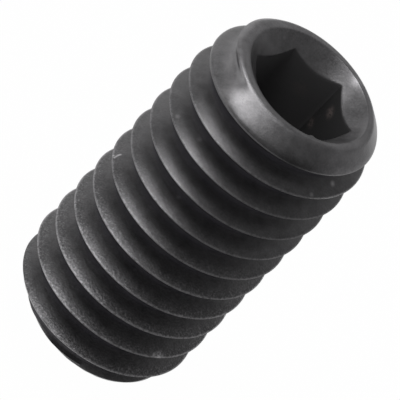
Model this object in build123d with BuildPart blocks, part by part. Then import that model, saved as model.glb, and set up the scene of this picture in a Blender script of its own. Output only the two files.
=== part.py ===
from build123d import *
import math
import os

# Headless hex socket set screw with a cup point, M6 x 12, right-hand thread, black-oxide steel.
# It stands on the rim of its cup point with the socket up.
# The origin is the centre of the cup rim and +Z runs along the axis; lengths in mm, angles in degrees.

# Whole screw
screw_length = 12.0

# Thread, metric 60 degree form, rolled over the whole length
thread_major_diameter = 5.93
thread_pitch = 1.0
thread_angle = 60.0
thread_crest_width = 0.06
thread_root_width = 0.25

# Drop of the groove's middle below the top face, over the +X side
groove_drop = 0.874

# Socket end, from the crests inwards: taper, chamfer, rounding, narrow flat face, countersink
rim_taper_width = 0.19
rim_taper_angle = 20.0
rim_chamfer_width = 0.46
rim_chamfer_angle = 90.0
rim_round_radius = 0.35
rim_flat_width = 0.08
countersink_angle = 90.0

# Hex socket with corners on the X axis, and the drilled cone inside the ledge at its bottom
socket_across_flats = 3.02
socket_depth = 3.5
socket_ledge_width = 0.11
socket_drill_angle = 120.0

# Point end, from the crests inwards: chamfer, flatter cone, narrow rim, cup
point_chamfer_width = 0.505
point_chamfer_angle = 75.0
point_cone_angle = 115.0
cup_rim_diameter = 3.0
cup_rim_width = 0.15
cup_angle = 120.0

# Share of the crest that the groove cutter may overhang outside the thread
cutter_overhang_share = 0.5

# Groove turns past both ends of the screw
spare_turns = 2

# Radii, with the corner that the rim's rounding takes off
thread_radius = thread_major_diameter / 2
rim_chamfer_radius = thread_radius - rim_taper_width
rim_corner_radius = rim_chamfer_radius - rim_chamfer_width
rim_round_width = rim_round_radius * math.tan(math.radians(90 - rim_chamfer_angle / 2) / 2)
countersink_radius = rim_corner_radius - rim_round_width - rim_flat_width
drill_radius = socket_across_flats / 2 - socket_ledge_width
point_cone_radius = thread_radius - point_chamfer_width
cup_rim_radius = cup_rim_diameter / 2
cup_radius = cup_rim_radius - cup_rim_width

# Heights of the cones, from their included angles
rim_taper_height = rim_taper_width / math.tan(math.radians(rim_taper_angle / 2))
rim_chamfer_height = rim_chamfer_width / math.tan(math.radians(rim_chamfer_angle / 2))
countersink_depth = countersink_radius / math.tan(math.radians(countersink_angle / 2))
drill_depth = drill_radius / math.tan(math.radians(socket_drill_angle / 2))
cup_depth = cup_radius / math.tan(math.radians(cup_angle / 2))
point_cone_height = (point_cone_radius - cup_rim_radius) / math.tan(math.radians(point_cone_angle / 2))
point_chamfer_height = point_chamfer_width / math.tan(math.radians(point_chamfer_angle / 2))

# Groove section: flanks and a flat root, with its mouth a little wider than the groove at the crests
flank_slope = math.tan(math.radians(thread_angle / 2))
groove_half_width = (thread_pitch - thread_crest_width) / 2
root_half_width = thread_root_width / 2
groove_depth = (groove_half_width - root_half_width) / flank_slope
cutter_overhang = cutter_overhang_share * thread_crest_width / 2
cutter_half_width = groove_half_width + cutter_overhang
cutter_reach = cutter_overhang / flank_slope

# One turn of the groove along the helix of the crests
with BuildPart() as groove_turn:
    with BuildLine() as groove_path:
        Helix(pitch=thread_pitch, height=thread_pitch, radius=thread_radius)
    groove_plane = Plane(groove_path.line @ 0, x_dir=Axis.X.direction, z_dir=groove_path.line % 0)
    with BuildSketch(groove_plane):
        with BuildLine():
            Polyline(
                (cutter_reach, -cutter_half_width),
                (-groove_depth, -root_half_width),
                (-groove_depth, root_half_width),
                (cutter_reach, cutter_half_width),
                close=True,
            )
        make_face()
    sweep(path=groove_path.line, is_frenet=True)

# Heights at which the turns start, from the one above the top face down past the cup rim
turn_count = math.ceil(screw_length / thread_pitch) + spare_turns
top_turn = screw_length - groove_drop + thread_pitch
turn_starts = [(0, 0, top_turn - turn * thread_pitch) for turn in range(turn_count)]

# Screw
with BuildPart() as set_screw:
    # Turned blank with both ends
    with BuildSketch(Plane.XZ) as half_section:
        with BuildLine():
            Polyline(
                (0, cup_depth),
                (cup_radius, 0),
                (cup_rim_radius, 0),
                (point_cone_radius, point_cone_height),
                (thread_radius, point_cone_height + point_chamfer_height),
                (thread_radius, screw_length - rim_chamfer_height - rim_taper_height),
                (rim_chamfer_radius, screw_length - rim_chamfer_height),
                (rim_corner_radius, screw_length),
                (countersink_radius, screw_length),
                (0, screw_length - countersink_depth),
                close=True,
            )
        make_face()
        rim_corner = half_section.vertices().sort_by_distance((rim_corner_radius, screw_length, 0))[0]
        fillet(rim_corner, rim_round_radius)
    revolve(axis=Axis.Z)

    # Thread groove, turn by turn
    with Locations(*turn_starts):
        add(groove_turn.part, mode=Mode.SUBTRACT)

    # Hex socket up through the countersink
    with BuildSketch(Plane.XY.offset(screw_length - socket_depth)):
        RegularPolygon(radius=socket_across_flats / 2, side_count=6, major_radius=False)
    extrude(amount=socket_depth, mode=Mode.SUBTRACT)

    # Drilled cone at the bottom of the socket
    with BuildSketch(Plane.XZ):
        with BuildLine():
            Polyline(
                (0, screw_length - socket_depth - drill_depth),
                (drill_radius, screw_length - socket_depth),
                (0, screw_length - socket_depth),
                close=True,
            )
        make_face()
    revolve(axis=Axis.Z, mode=Mode.SUBTRACT)

set_screw.part.label = "set_screw"
os.makedirs("parts", exist_ok=True)
export_step(set_screw.part, "parts/set_screw.step")
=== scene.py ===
import math

import bmesh
import bpy
from mathutils import Matrix, Vector


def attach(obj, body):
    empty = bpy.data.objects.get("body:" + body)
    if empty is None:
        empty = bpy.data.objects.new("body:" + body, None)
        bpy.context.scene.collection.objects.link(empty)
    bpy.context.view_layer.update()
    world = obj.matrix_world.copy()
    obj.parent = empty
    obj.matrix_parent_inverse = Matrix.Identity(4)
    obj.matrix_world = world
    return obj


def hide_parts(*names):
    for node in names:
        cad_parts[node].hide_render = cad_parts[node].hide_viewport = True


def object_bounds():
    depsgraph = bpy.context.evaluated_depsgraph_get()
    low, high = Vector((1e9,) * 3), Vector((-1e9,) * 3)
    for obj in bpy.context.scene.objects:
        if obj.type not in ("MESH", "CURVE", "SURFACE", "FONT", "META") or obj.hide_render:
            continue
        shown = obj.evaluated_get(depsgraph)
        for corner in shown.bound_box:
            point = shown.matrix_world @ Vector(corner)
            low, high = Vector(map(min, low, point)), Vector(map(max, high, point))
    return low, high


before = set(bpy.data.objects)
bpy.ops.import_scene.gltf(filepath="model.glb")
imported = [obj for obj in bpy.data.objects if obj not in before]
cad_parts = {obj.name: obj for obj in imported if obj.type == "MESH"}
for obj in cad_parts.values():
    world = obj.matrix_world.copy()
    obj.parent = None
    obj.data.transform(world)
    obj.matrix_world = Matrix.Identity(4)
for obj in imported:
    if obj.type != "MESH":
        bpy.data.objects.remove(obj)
cad_low, cad_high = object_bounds()


# Set screw: one piece of alloy steel, its thread rolled and its hex socket pressed in cold, then hardened
# and blackened in a hot oxide bath. The black is worn thin on the crests, and the front of the rim is worn.
mm = 0.001
screw_length = cad_high.z - cad_low.z
thread_radius = (cad_high.x - cad_low.x) / 2
thread_pitch = 1.0 * mm
crest_width = 0.04 * mm
crest_softness = 0.05 * mm
root_round = 0.2 * mm
groove_drop = 0.874 * mm
half_flank = math.radians(30)

groove_half_width = (thread_pitch - crest_width) / 2
sharp_root = thread_radius - groove_half_width / math.tan(half_flank)
root_centre = sharp_root + root_round / math.sin(half_flank)
root_reach = root_round * math.cos(half_flank)


def soft_min(a, b, softness):
    """The lesser of two lengths, with the corner between them rounded."""
    nearness = max(softness - abs(a - b), 0) / softness
    return min(a, b) - nearness * nearness * softness / 4


def thread_section(offset):
    """Radius of the thread at an axial distance from the middle of its groove."""
    reach = abs(offset)
    if reach < root_reach:
        return root_centre - math.sqrt(root_round ** 2 - reach ** 2)
    return soft_min(sharp_root + reach / math.tan(half_flank), thread_radius, crest_softness)


def nearest_groove(angle, height):
    """Height of the middle of the groove that is nearest to a place on the screw."""
    top_groove = screw_length - groove_drop + thread_pitch * angle / math.tau
    return top_groove + round((height - top_groove) / thread_pitch) * thread_pitch


# One pitch of the thread's outline, from crest to crest, stands in the XZ plane and is screwed up the axis
half_outline_shares = (0.035, 0.07, 0.1, 0.121, 0.2, 0.28, 0.35, 0.4, 0.42, 0.44, 0.465, 0.5)
outline_shares = [-share for share in reversed(half_outline_shares)] + [0] + list(half_outline_shares)
turns_below = 14
turns_made = 16
columns = 216
merge_distance = 0.001 * mm

bpy.ops.object.select_all(action="DESELECT")
bpy.ops.mesh.primitive_grid_add(x_subdivisions=len(outline_shares) - 1, y_subdivisions=1, size=thread_pitch)
screw = bpy.context.object
screw.name = "threaded_screw"
screw.data.name = "threaded_screw"
bpy.ops.object.mode_set(mode="EDIT")
bpy.ops.mesh.select_all(action="DESELECT")
bpy.ops.object.mode_set(mode="OBJECT")
for vertex in screw.data.vertices:
    vertex.select = vertex.co.y > 0
bpy.ops.object.mode_set(mode="EDIT")
bpy.ops.mesh.delete(type="VERT")
bpy.ops.object.mode_set(mode="OBJECT")
groove_start = screw_length - groove_drop - turns_below * thread_pitch
for vertex, share in zip(sorted(screw.data.vertices, key=lambda v: v.co.x), outline_shares):
    offset = share * thread_pitch
    vertex.co = (thread_section(offset), 0, groove_start + offset)

helix = screw.modifiers.new("helix", "SCREW")
helix.axis = "Z"
helix.angle = math.tau
helix.screw_offset = thread_pitch
helix.iterations = turns_made
helix.steps = columns
helix.render_steps = columns
bpy.ops.object.modifier_apply(modifier="helix")
bpy.ops.object.mode_set(mode="EDIT")
bpy.ops.mesh.select_all(action="SELECT")
bpy.ops.mesh.remove_doubles(threshold=merge_distance)
bpy.ops.mesh.normals_make_consistent(inside=False)

# Both ends: the thread runs out through a chamfer at each, and both are a little askew to the thread.
# The front of the rim is worn lower, flatter and rounder, and the last groove below the rim is rolled shut.
rim_radius = 2.169 * mm
rim_shift = 0.064 * mm
rim_taper_radius = 2.694 * mm
rim_taper_slope = 0.1755
rim_softness = 0.14 * mm
rim_round = 0.35 * mm
rim_run_out_softness = 0.1 * mm
worn_angle = math.radians(245)
worn_spread = math.radians(45)
worn_slope = 0.327
worn_drop = 0.094 * mm
worn_round = 0.28 * mm
worn_face = 0.09 * mm
worn_bulge = 0.1 * mm
groove_end_drop = 0.216 * mm
groove_end_slope = 3.5
groove_end_curve = 10 / mm
groove_end_softness = 0.25 * mm
point_radius = 1.5 * mm
point_face_radius = 2.46 * mm
point_face_height = 0.606 * mm
point_chamfer_slope = 0.77
point_lean = 0.0511
point_run_out_softness = 0.05 * mm


def bell(angle, middle, spread):
    """Is 1 at an angle round the axis and falls to 0 on both sides of it."""
    away = (angle - middle + math.pi) % math.tau - math.pi
    return math.exp(-(away / spread) ** 2)


def worn(angle):
    """How far the rim is worn at an angle, from 0 to 1."""
    return bell(angle, worn_angle, worn_spread)


def rim_slope(angle):
    """Slope of the rim's chamfer, which is flatter where it is worn."""
    return math.atan(1 / (1 + worn_slope * worn(angle)))


def rim_top(angle):
    """Height of the rim's face, which is lower where it is worn."""
    return screw_length - worn_drop * worn(angle)


def worn_rounder(rounding, angle):
    """Radius of a rounding of the rim, which nears the worn one where the rim is worn."""
    return rounding + (worn_round - rounding) * worn(angle)


def rim_edge(angle):
    """Radius where the chamfer of the rim would meet its face without a rounding."""
    face_radius = rim_radius - rim_shift * math.cos(angle) - worn_face * worn(angle)
    return face_radius + worn_rounder(rim_round, angle) * math.tan(rim_slope(angle) / 2)


def end_surface(angle, height):
    """Radius that the chamfers of the rim and the point leave at an angle and a height."""
    chamfer = rim_edge(angle) + (rim_top(angle) - height) / math.tan(rim_slope(angle))
    taper = rim_taper_radius + worn_bulge * worn(angle) + rim_taper_slope * (screw_length - height)
    rim = soft_min(chamfer, taper, rim_softness)
    rise = height - point_face_height + point_lean * point_face_radius * math.cos(angle)
    if rise > 0:
        point = point_face_radius + point_chamfer_slope * rise
    else:
        point = point_face_radius + rise * (point_face_radius - point_radius) / point_face_height
    return min(rim, point)


def run_out(angle, height, end):
    """Radius where the thread runs out through the radius of an end."""
    groove = nearest_groove(angle, height)
    thread = thread_section(height - groove)
    from_groove_end = max(screw_length - groove_end_drop - groove, 0)
    depth = from_groove_end * (groove_end_slope + groove_end_curve * from_groove_end)
    filled = -soft_min(-thread, depth - end, groove_end_softness)
    softness = rim_run_out_softness if height > screw_length / 2 else point_run_out_softness
    return soft_min(filled, end, softness)


def ring_place(angle, radius, height):
    """Point of a level ring round the axis."""
    return Vector((radius * math.cos(angle), radius * math.sin(angle), height))


def outer_place(angle, height):
    """Point of the screw's outside."""
    return ring_place(angle, run_out(angle, height, end_surface(angle, height)), height)


def cut_level(height, direction):
    """Cuts the thread off level at a height, upwards or downwards."""
    bpy.ops.mesh.select_all(action="SELECT")
    bpy.ops.mesh.bisect(plane_co=(0, 0, height), plane_no=(0, 0, direction), clear_outer=True,
                        threshold=merge_distance / 10)


rim_cut_drop = 0.26 * mm
rim_cut = screw_length - rim_cut_drop
point_cut = 0.05 * mm
cut_level(rim_cut, 1)
cut_level(point_cut, -1)
edited = bmesh.from_edit_mesh(screw.data)
for vertex in edited.verts:
    vertex.co = outer_place(math.atan2(vertex.co.y, vertex.co.x), vertex.co.z)
bmesh.update_edit_mesh(screw.data)

# Rim, countersink and hex socket, ring by ring inwards and down
socket_half_width = 1.51 * mm
socket_corner_softness = 0.05 * mm
hex_step = math.radians(60)
socket_corner = socket_half_width / math.cos(hex_step / 2)
socket_depth = 3.5 * mm
socket_ledge = 0.11 * mm
socket_shift = 0.045 * mm
drill_half_angle = math.radians(60)
countersink_radius = 2.07 * mm
mouth_round = 0.08 * mm
mouth_slope = math.radians(45)
mouth_burr_angle = math.radians(293)
mouth_burr_spread = math.radians(2.6)
mouth_burr_reach = 0.07 * mm


def hex_radius(angle):
    """Radius of the hex at an angle; its corners are on the X axis and slightly rounded."""
    from_flat = angle % hex_step - hex_step / 2
    return soft_min(socket_half_width / math.cos(from_flat), socket_corner, socket_corner_softness)


def rim_place(angle, share):
    """Point on the rounding of the rim, from its face to its chamfer."""
    rounding = worn_rounder(rim_round, angle)
    lean = rim_slope(angle) * share
    height = rim_top(angle) - rounding * (1 - math.cos(lean))
    radius = rim_edge(angle) + rounding * (math.sin(lean) - math.tan(rim_slope(angle) / 2))
    return ring_place(angle, run_out(angle, height, radius), height)


def chamfer_place(angle, share):
    """Point on the chamfer of the rim, from the cut thread to the rounding."""
    return outer_place(angle, rim_cut + (rim_place(angle, 1).z - rim_cut) * share)


def mouth_place(angle, share):
    """Point on the rounded mouth of the countersink, which has a small burr."""
    rounding = worn_rounder(mouth_round, angle)
    lean = mouth_slope * share
    height = rim_top(angle) - rounding * (1 - math.cos(lean))
    sharp_radius = countersink_radius - (screw_length - rim_top(angle))
    radius = sharp_radius + rounding * (math.tan(mouth_slope / 2) - math.sin(lean))
    burr = mouth_burr_reach * bell(angle, mouth_burr_angle, mouth_burr_spread)
    return ring_place(angle, radius - burr, height)


def countersink_place(angle, share):
    """Point on the countersink, from its mouth to the scalloped edge of the hex."""
    mouth_radius = mouth_place(angle, 1).xy.length
    radius = mouth_radius + (hex_radius(angle) - mouth_radius) * share
    return ring_place(angle, radius, screw_length - (countersink_radius - radius))


def socket_place(angle, share):
    """Point on the walls of the hex, from its edge to its bottom."""
    radius = hex_radius(angle)
    edge = screw_length - (countersink_radius - radius)
    return ring_place(angle, radius, edge + (screw_length - socket_depth - edge) * share)


def select_level(height):
    """Selects the open ring at a height."""
    bpy.ops.mesh.select_all(action="DESELECT")
    open_mesh = bmesh.from_edit_mesh(screw.data)
    for edge in open_mesh.edges:
        if edge.is_boundary and all(abs(end.co.z - height) < merge_distance for end in edge.verts):
            edge.select_set(True)
    bmesh.update_edit_mesh(screw.data)


def next_ring(place, *sizes):
    """Draws a new ring out of the selected one and places each of its points for its angle."""
    bpy.ops.mesh.extrude_edges_indiv()
    open_mesh = bmesh.from_edit_mesh(screw.data)
    for point in open_mesh.verts:
        if point.select:
            point.co = place(math.atan2(point.co.y, point.co.x), *sizes)
    bmesh.update_edit_mesh(screw.data)


bpy.ops.mesh.select_mode(type="EDGE")
select_level(rim_cut)
for share in (0.25, 0.5, 0.75):
    next_ring(chamfer_place, share)
for share in (1, 0.85, 0.7, 0.55, 0.4, 0.25, 0.12, 0):
    next_ring(rim_place, share)
for share in (0, 0.25, 0.5, 0.75, 1):
    next_ring(mouth_place, share)
for share in (0.3, 0.6, 0.9, 0.97):
    next_ring(countersink_place, share)
for share in (0.006, 0.03, 0.2, 0.5, 0.8, 1):
    next_ring(socket_place, share)
drill_radius = socket_half_width - socket_ledge
for share in (1, 0.6, 0.3, 0.1, 0):
    drill_depth = drill_radius * (1 - share) / math.tan(drill_half_angle)
    next_ring(ring_place, drill_radius * share, screw_length - socket_depth - drill_depth)
bpy.ops.mesh.merge(type="CENTER")

# Cup point: a narrow rim round a turned cup
cup_rim_width = 0.15 * mm
cup_radius = point_radius - cup_rim_width
cup_half_angle = math.radians(60)
outer_break = 0.015 * mm
outer_break_height = 0.012 * mm
inner_break = 0.01 * mm
select_level(point_cut)
next_ring(ring_place, point_radius + outer_break, outer_break_height)
next_ring(ring_place, point_radius - outer_break, 0)
next_ring(ring_place, cup_radius + inner_break, 0)
for share in (0.98, 0.6, 0.3, 0.1, 0):
    next_ring(ring_place, cup_radius * share, cup_radius * (1 - share) / math.tan(cup_half_angle))
bpy.ops.mesh.merge(type="CENTER")

# The socket was pressed in a little off centre
edited = bmesh.from_edit_mesh(screw.data)
for vertex in edited.verts:
    inside = (countersink_radius - vertex.co.xy.length) / (countersink_radius - socket_corner)
    if vertex.co.z > screw_length / 2:
        vertex.co.x += socket_shift * min(max(inside, 0), 1)
bmesh.update_edit_mesh(screw.data)
bpy.ops.mesh.select_all(action="SELECT")
bpy.ops.mesh.normals_make_consistent(inside=False)
bpy.ops.object.mode_set(mode="OBJECT")
smooth_angle = math.radians(40)
bpy.ops.object.shade_smooth_by_angle(angle=smooth_angle)


class Field:
    """A value in a material's node tree; sums and products of fields make the math nodes for them."""

    def __init__(self, tree, socket):
        self.tree = tree
        self.socket = socket

    def make(self, kind, settings, sockets, output=0):
        """Adds a node, gives it its settings and then its sockets, and returns one of its outputs."""
        node = self.tree.nodes.new(kind)
        for name, value in settings.items():
            setattr(node, name, value)
        for name, value in sockets.items():
            if isinstance(value, Field):
                self.tree.links.new(value.socket, node.inputs[name])
            else:
                node.inputs[name].default_value = value
        return Field(self.tree, node.outputs[output])

    def math(self, operation, *values):
        """Adds a math node."""
        return self.make("ShaderNodeMath", {"operation": operation}, dict(enumerate(values)))

    def __add__(self, other):
        return self.math("ADD", self, other)

    def __radd__(self, other):
        return self.math("ADD", other, self)

    def __sub__(self, other):
        return self.math("SUBTRACT", self, other)

    def __rsub__(self, other):
        return self.math("SUBTRACT", other, self)

    def __mul__(self, other):
        return self.math("MULTIPLY", self, other)

    def __rmul__(self, other):
        return self.math("MULTIPLY", other, self)

    def __truediv__(self, other):
        return self.math("DIVIDE", self, other)

    def __pow__(self, other):
        return self.math("POWER", self, other)

    def __abs__(self):
        return self.math("ABSOLUTE", self)

    def step(self, low, high):
        """Goes smoothly from 0 at the low value to 1 at the high one."""
        return self.make("ShaderNodeMapRange", {"interpolation_type": "SMOOTHSTEP"},
                         {"Value": self, "From Min": low, "From Max": high}, "Result")

    def noise(self, scale, detail, roughness):
        """Noise over a place."""
        return self.make("ShaderNodeTexNoise", {}, {
            "Vector": self, "Scale": scale, "Detail": detail, "Roughness": roughness}, "Fac")

    def near(self, point, reach):
        """Is 1 at a point and falls to 0 at a distance from it."""
        away = self.make("ShaderNodeVectorMath", {"operation": "DISTANCE"}, {0: self, 1: point}, "Value")
        return 1 - away.step(0, reach)

    def marks(self, *spots):
        """Sum of spots, each with its place, its reach and its strength."""
        return sum(strength * self.near(point, reach) for point, reach, strength in spots)

    def towards(self, other, share):
        """Mixes a colour into this one."""
        return self.make("ShaderNodeMix", {"data_type": "RGBA"}, {
            "Factor": share, "A": self, "B": other}, "Result")


# Black oxide: where a point lies, in millimetres, is read off the screw's own axes.
# The share of the crest is 0 in the middle of the groove and 1 on the crest.
black = bpy.data.materials.new("black_oxide")
black.use_nodes = True
steel_tree = black.node_tree
steel_shader = steel_tree.nodes["Principled BSDF"]
steel = Field(steel_tree, steel_shader.outputs[0])
metres = steel.make("ShaderNodeTexCoord", {}, {}, "Object")
where = steel.make("ShaderNodeVectorMath", {"operation": "SCALE"}, {"Vector": metres, "Scale": 1 / mm})
x, y, z = (steel.make("ShaderNodeSeparateXYZ", {}, {"Vector": where}, axis) for axis in "XYZ")
from_top = screw_length / mm - z
from_axis = (x * x + y * y) ** 0.5
round_axis = steel.math("ARCTAN2", y, x)
groove_turns = groove_drop / mm - from_top - round_axis / math.tau
crest_share = abs(steel.math("FRACT", groove_turns + 0.5) - 0.5) * 2

# Zones: the rolled thread, its roots, the crown of the rim, and the rougher half towards the point
on_thread = from_axis.step(2.05, 2.2) * from_top.step(0.5, 0.8) * z.step(0.5, 1.1)
root = on_thread * (1 - crest_share.step(0.12, 0.44))
crown = from_axis.step(2.05, 2.15) * (1 - from_top.step(0.4, 0.7))
coarse = 1 - 0.65 * z.step(3.5, 9.0)
lower_end = 1 - z.step(4.5, 8.5)

# Zone of the socket's walls and bottom, below the countersink's edge; the wall that faces the window is
# painted darker, a painted shade that evens out the light on it
socket_x = x - socket_shift / mm
from_socket_axis = (socket_x * socket_x + y * y) ** 0.5
below_countersink = from_top - (countersink_radius / mm - from_socket_axis)
within_walls = 1 - from_socket_axis.step(1.8, 1.85)
in_socket = below_countersink.step(0.0, 0.05) * within_walls * (1 - from_top.step(4.5, 5.0))
painted_shade_wall = round_axis.step(-0.02, 0.02) * (1 - round_axis.step(1.02, 1.03)) * (1 - from_top.step(3.4, 3.5))

# Unevenness of the oxide, from fine to broad
pits = where.noise(21.0, 2.0, 0.6)
grain = where.noise(17.0, 3.0, 0.6)
flecks = where.noise(11.0, 3.0, 0.6)
flakes = where.noise(9.0, 3.0, 0.65) * crest_share.step(0.55, 0.85) * lower_end
scuffs = where.noise(6.0, 3.0, 0.6)
mottle = where.noise(3.5, 4.0, 0.6)
patches = where.noise(0.8, 3.0, 0.5)

# Worn marks and painted light: ragged worn crests, painted highlight specks near the crests of the lower
# turns, the worn front of the rim with a painted highlight on it, a painted highlight on its back lip and a
# burr on a low crest
crest_line = (crest_share + (flecks - 0.5) * 0.12).step(0.9, 0.96)
ragged = crest_line * from_axis.step(2.6, 2.75) * from_top.step(1.0, 1.4) * flecks.step(0.2, 0.55)
# Painted highlight specks: lighter flecks near the crests of the lower turns
painted_glint_flecks = grain.step(0.57, 0.68) * crest_share.step(0.6, 0.85) * on_thread * lower_end
# The worn front of the rim, lightened further as a painted highlight
rubbed_front_and_painted_highlight = where.marks(
    ((-0.95, -2.3, 11.65), 1.0, 0.35), ((-1.4, -2.12, 11.64), 0.4, 0.9), ((-1.1, -2.45, 11.5), 0.3, 0.35))
rubbed_and_painted_highlight = rubbed_front_and_painted_highlight * (0.4 + 0.9 * scuffs.step(0.35, 0.65)) * (1 - 0.6 * pits.step(0.58, 0.66))
# Painted highlight on the back lip of the rim
painted_lip_glint = where.near((1.167, 1.684, 11.975), 0.32)
crest_burr = flecks.step(0.3, 0.6) * where.marks(
    ((2.028, -2.082, 2.552), 0.2, 1.0), ((1.86, -2.16, 2.5), 0.12, 1.0))
# Sum of the worn marks and the painted highlights
wear_and_painted_light = ragged * (0.03 + 0.13 * coarse) + 0.06 * painted_glint_flecks + 0.12 * rubbed_and_painted_highlight + 0.12 * painted_lip_glint + 0.4 * crest_burr

# Dust: specks round the upper turns, and a hooked hair on the left
specks = where.marks(
    ((-1.295, 1.347, 11.817), 0.1, 0.05), ((2.247, -1.337, 10.763), 0.13, 0.15),
    ((1.895, -2.140, 10.570), 0.1, 0.1), ((-1.522, -2.036, 9.538), 0.12, 0.06),
    ((-2.371, -1.532, 9.319), 0.12, 0.08), ((-0.841, -2.288, 7.651), 0.1, 0.06))
hair_strength = 0.25
hair_start = Vector((-2.7, -0.589, 6.296))
hair_bend = Vector((-2.755, -0.668, 6.259))
hair_end = Vector((-2.796, -0.791, 6.224))
hair_hook = Vector((-2.846, -0.711, 6.201))
hair_run = (hair_start, hair_start.lerp(hair_bend, 0.5), hair_bend, hair_bend.lerp(hair_end, 0.5), hair_end)
hair = where.marks(*((dot, 0.06, hair_strength) for dot in hair_run), (hair_hook, 0.05, hair_strength))

# Tone: painted shade in the roots and painted light near the crests, painted light that makes the rim and
# its crown lighter, and painted shade on the lower front of the rim, where the lamps leave it too light
oxide_tone = 0.084
# Painted shade on the lower front of the rim
painted_rim_edge_shade = 0.5 * where.near((0.6, -2.8, 11.3), 1.6) * from_top.step(0.3, 0.6)
painted_rim_shade = where.marks(((-0.7, -2.5, 11.4), 1.0, 0.5), ((1.0, -2.5, 11.5), 1.5, 0.65)) + painted_rim_edge_shade
# Painted light on the rim and its crown, less that painted shade
painted_rim_light_and_shade = 1 + 0.4 * (1 - from_top.step(0.5, 1.1)) + 0.4 * crown - painted_rim_shade * (1 - from_top.step(0.7, 0.9))
# Painted shade in the roots of the groove and painted light near the crests
painted_root_shade_and_crest_light = 1 - 0.58 * root + 0.1 * on_thread * crest_share.step(0.46, 0.9)
cloudy = (0.6 + 0.8 * mottle) * (0.75 + 0.5 * patches)
grainy = 1 + coarse * (1 + 1.4 * crest_share.step(0.5, 0.85)) * (grain - 0.5)
outer_tone = oxide_tone * painted_root_shade_and_crest_light * cloudy * grainy * painted_rim_light_and_shade + wear_and_painted_light + specks + hair
# The socket's tone, with painted shade on the wall that faces the window
socket_tone_with_painted_shade = 0.075 - 0.05 * painted_shade_wall
tone = outer_tone * (1 - in_socket) + socket_tone_with_painted_shade * in_socket

# The black is faintly violet, most of all in the roots, and a brown residue is left in the socket
oxide_colour = steel.make("ShaderNodeCombineColor", {}, {
    "Red": tone * (1.02 + 0.03 * root), "Green": tone, "Blue": tone * (1.03 + 0.12 * root)}, "Color")
residue_colour = (0.15, 0.12, 0.115, 1)
residue = flecks.step(0.3, 0.6) * where.marks(
    ((1.1, 1.07, 10.95), 0.3, 1.0), ((0.95, 1.33, 10.05), 0.25, 0.8), ((0.07, 1.5, 10.65), 0.4, 0.25))
colour = oxide_colour.towards(residue_colour, residue)
roughness = 0.3 + 0.12 * grain + 0.1 * (mottle - 0.5) + 0.4 * in_socket + 0.3 * root + 0.1 * rubbed_and_painted_highlight
metallic = 0.9 - 0.8 * in_socket
bump = steel.make("ShaderNodeBump", {}, {
    "Strength": 1.0, "Distance": 0.01 * mm, "Height": grain * coarse + 1.1 * flakes}, "Normal")
steel_tree.links.new(colour.socket, steel_shader.inputs["Base Color"])
steel_tree.links.new(roughness.socket, steel_shader.inputs["Roughness"])
steel_tree.links.new(metallic.socket, steel_shader.inputs["Metallic"])
steel_tree.links.new(bump.socket, steel_shader.inputs["Normal"])
screw.data.materials.append(black)
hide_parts("set_screw")
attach(screw, "root")


# Floor: a plain matt white table that the screw stands on. Seen by the camera or mirrored in the steel it is
# white; to all other light it is pale grey paint, which throws less light back up.
floor_size = 2
white_share = 0.99
paint_colour = (0.55, 0.55, 0.55, 1)
paint_roughness = 0.9
bpy.ops.object.select_all(action="DESELECT")
bpy.ops.mesh.primitive_plane_add(size=floor_size)
floor = bpy.context.object
floor.name = "floor"
white = bpy.data.materials.new("white_table")
white.use_nodes = True
table_tree = white.node_tree
paint = table_tree.nodes["Principled BSDF"]
paint.inputs["Base Color"].default_value = paint_colour
paint.inputs["Roughness"].default_value = paint_roughness
table = Field(table_tree, paint.outputs[0])
ray_names = ("Is Camera Ray", "Is Glossy Ray", "Is Transmission Ray")
camera_ray, glossy_ray, transmission_ray = (
    table.make("ShaderNodeLightPath", {}, {}, name) for name in ray_names)
seen = table.math("MAXIMUM", camera_ray, table.math("MAXIMUM", glossy_ray, transmission_ray))
glow = table.make("ShaderNodeEmission", {}, {"Strength": 1.0}, "Emission")
surface = table.make("ShaderNodeMixShader", {}, {0: seen * white_share, 1: table, 2: glow}, "Shader")
table_tree.links.new(surface.socket, table_tree.nodes["Material Output"].inputs["Surface"])
floor.data.materials.append(white)


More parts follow.
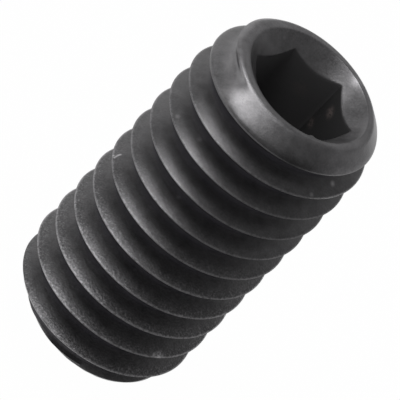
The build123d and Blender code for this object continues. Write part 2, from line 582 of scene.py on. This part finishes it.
# Camera: a long lens from above, rolled so that the upright screw lies across the picture.
# The lens is as long as the scale of the picture at the screw asks.
azimuth = math.radians(-8.6)
elevation = math.radians(35.97)
roll = math.radians(43.81)
distance = 152.56 * mm
aim_height = 6.38 * mm
aim_shift = 0.0066 * mm
picture_width = 400
pixels_per_mm = 34.1475
sensor_width = 36
nearest_seen = 1 * mm
level_back = Vector((math.sin(azimuth), -math.cos(azimuth), 0))
level_right = Vector((math.cos(azimuth), math.sin(azimuth), 0))
back = level_back * math.cos(elevation) + Vector((0, 0, math.sin(elevation)))
level_up = back.cross(level_right)
right = level_right * math.cos(roll) + level_up * math.sin(roll)
up = level_up * math.cos(roll) - level_right * math.sin(roll)
target = Vector((0, 0, aim_height)) + level_right * aim_shift
camera_data = bpy.data.cameras.new("camera")
camera_data.sensor_width = sensor_width
camera_data.lens = pixels_per_mm * distance / mm * sensor_width / picture_width
camera_data.clip_start = nearest_seen
camera = bpy.data.objects.new("camera", camera_data)
bpy.context.scene.collection.objects.link(camera)
camera_place = Matrix((right, up, back)).transposed().to_4x4()
camera_place.translation = target + back * distance
camera.matrix_world = camera_place
bpy.context.scene.camera = camera


# Light: a soft window high on the left, a weaker patch of ceiling beside it, and pale walls round the table.
# Each lamp has its name, its turn from the camera's right and its rise in degrees, its width and height in
# metres, and its power in watts.
lamps = (
    ("window", 204, 60, 0.24, 0.22, 0.62),
    ("ceiling", 165, 66, 0.16, 0.16, 0.19),
    ("left_wall", 197, 15, 0.3, 0.2, 0.25),
    ("far_left_wall", 137, 18, 0.3, 0.24, 0.2),
    ("back_wall", 85, 34, 0.5, 0.24, 0.13),
    ("right_wall", 28, 12, 0.35, 0.16, 0.04),
)
lamp_distance = 0.4
room_light = 0.3
for name, turn, rise, width, height, power in lamps:
    lamp_data = bpy.data.lights.new(name, "AREA")
    lamp_data.shape = "RECTANGLE"
    lamp_data.size = width
    lamp_data.size_y = height
    lamp_data.energy = power
    lamp = bpy.data.objects.new(name, lamp_data)
    bpy.context.scene.collection.objects.link(lamp)
    heading = azimuth + math.radians(turn)
    level = math.cos(math.radians(rise))
    aim = Vector((math.cos(heading) * level, math.sin(heading) * level, math.sin(math.radians(rise))))
    lamp.location = target + aim * lamp_distance
    lamp.rotation_euler = aim.to_track_quat("Z", "Y").to_euler()

world = bpy.data.worlds.new("room")
world.use_nodes = True
world.node_tree.nodes["Background"].inputs["Color"].default_value = (1, 1, 1, 1)
world.node_tree.nodes["Background"].inputs["Strength"].default_value = room_light
bpy.context.scene.world = world
bpy.context.scene.view_settings.view_transform = "Standard"
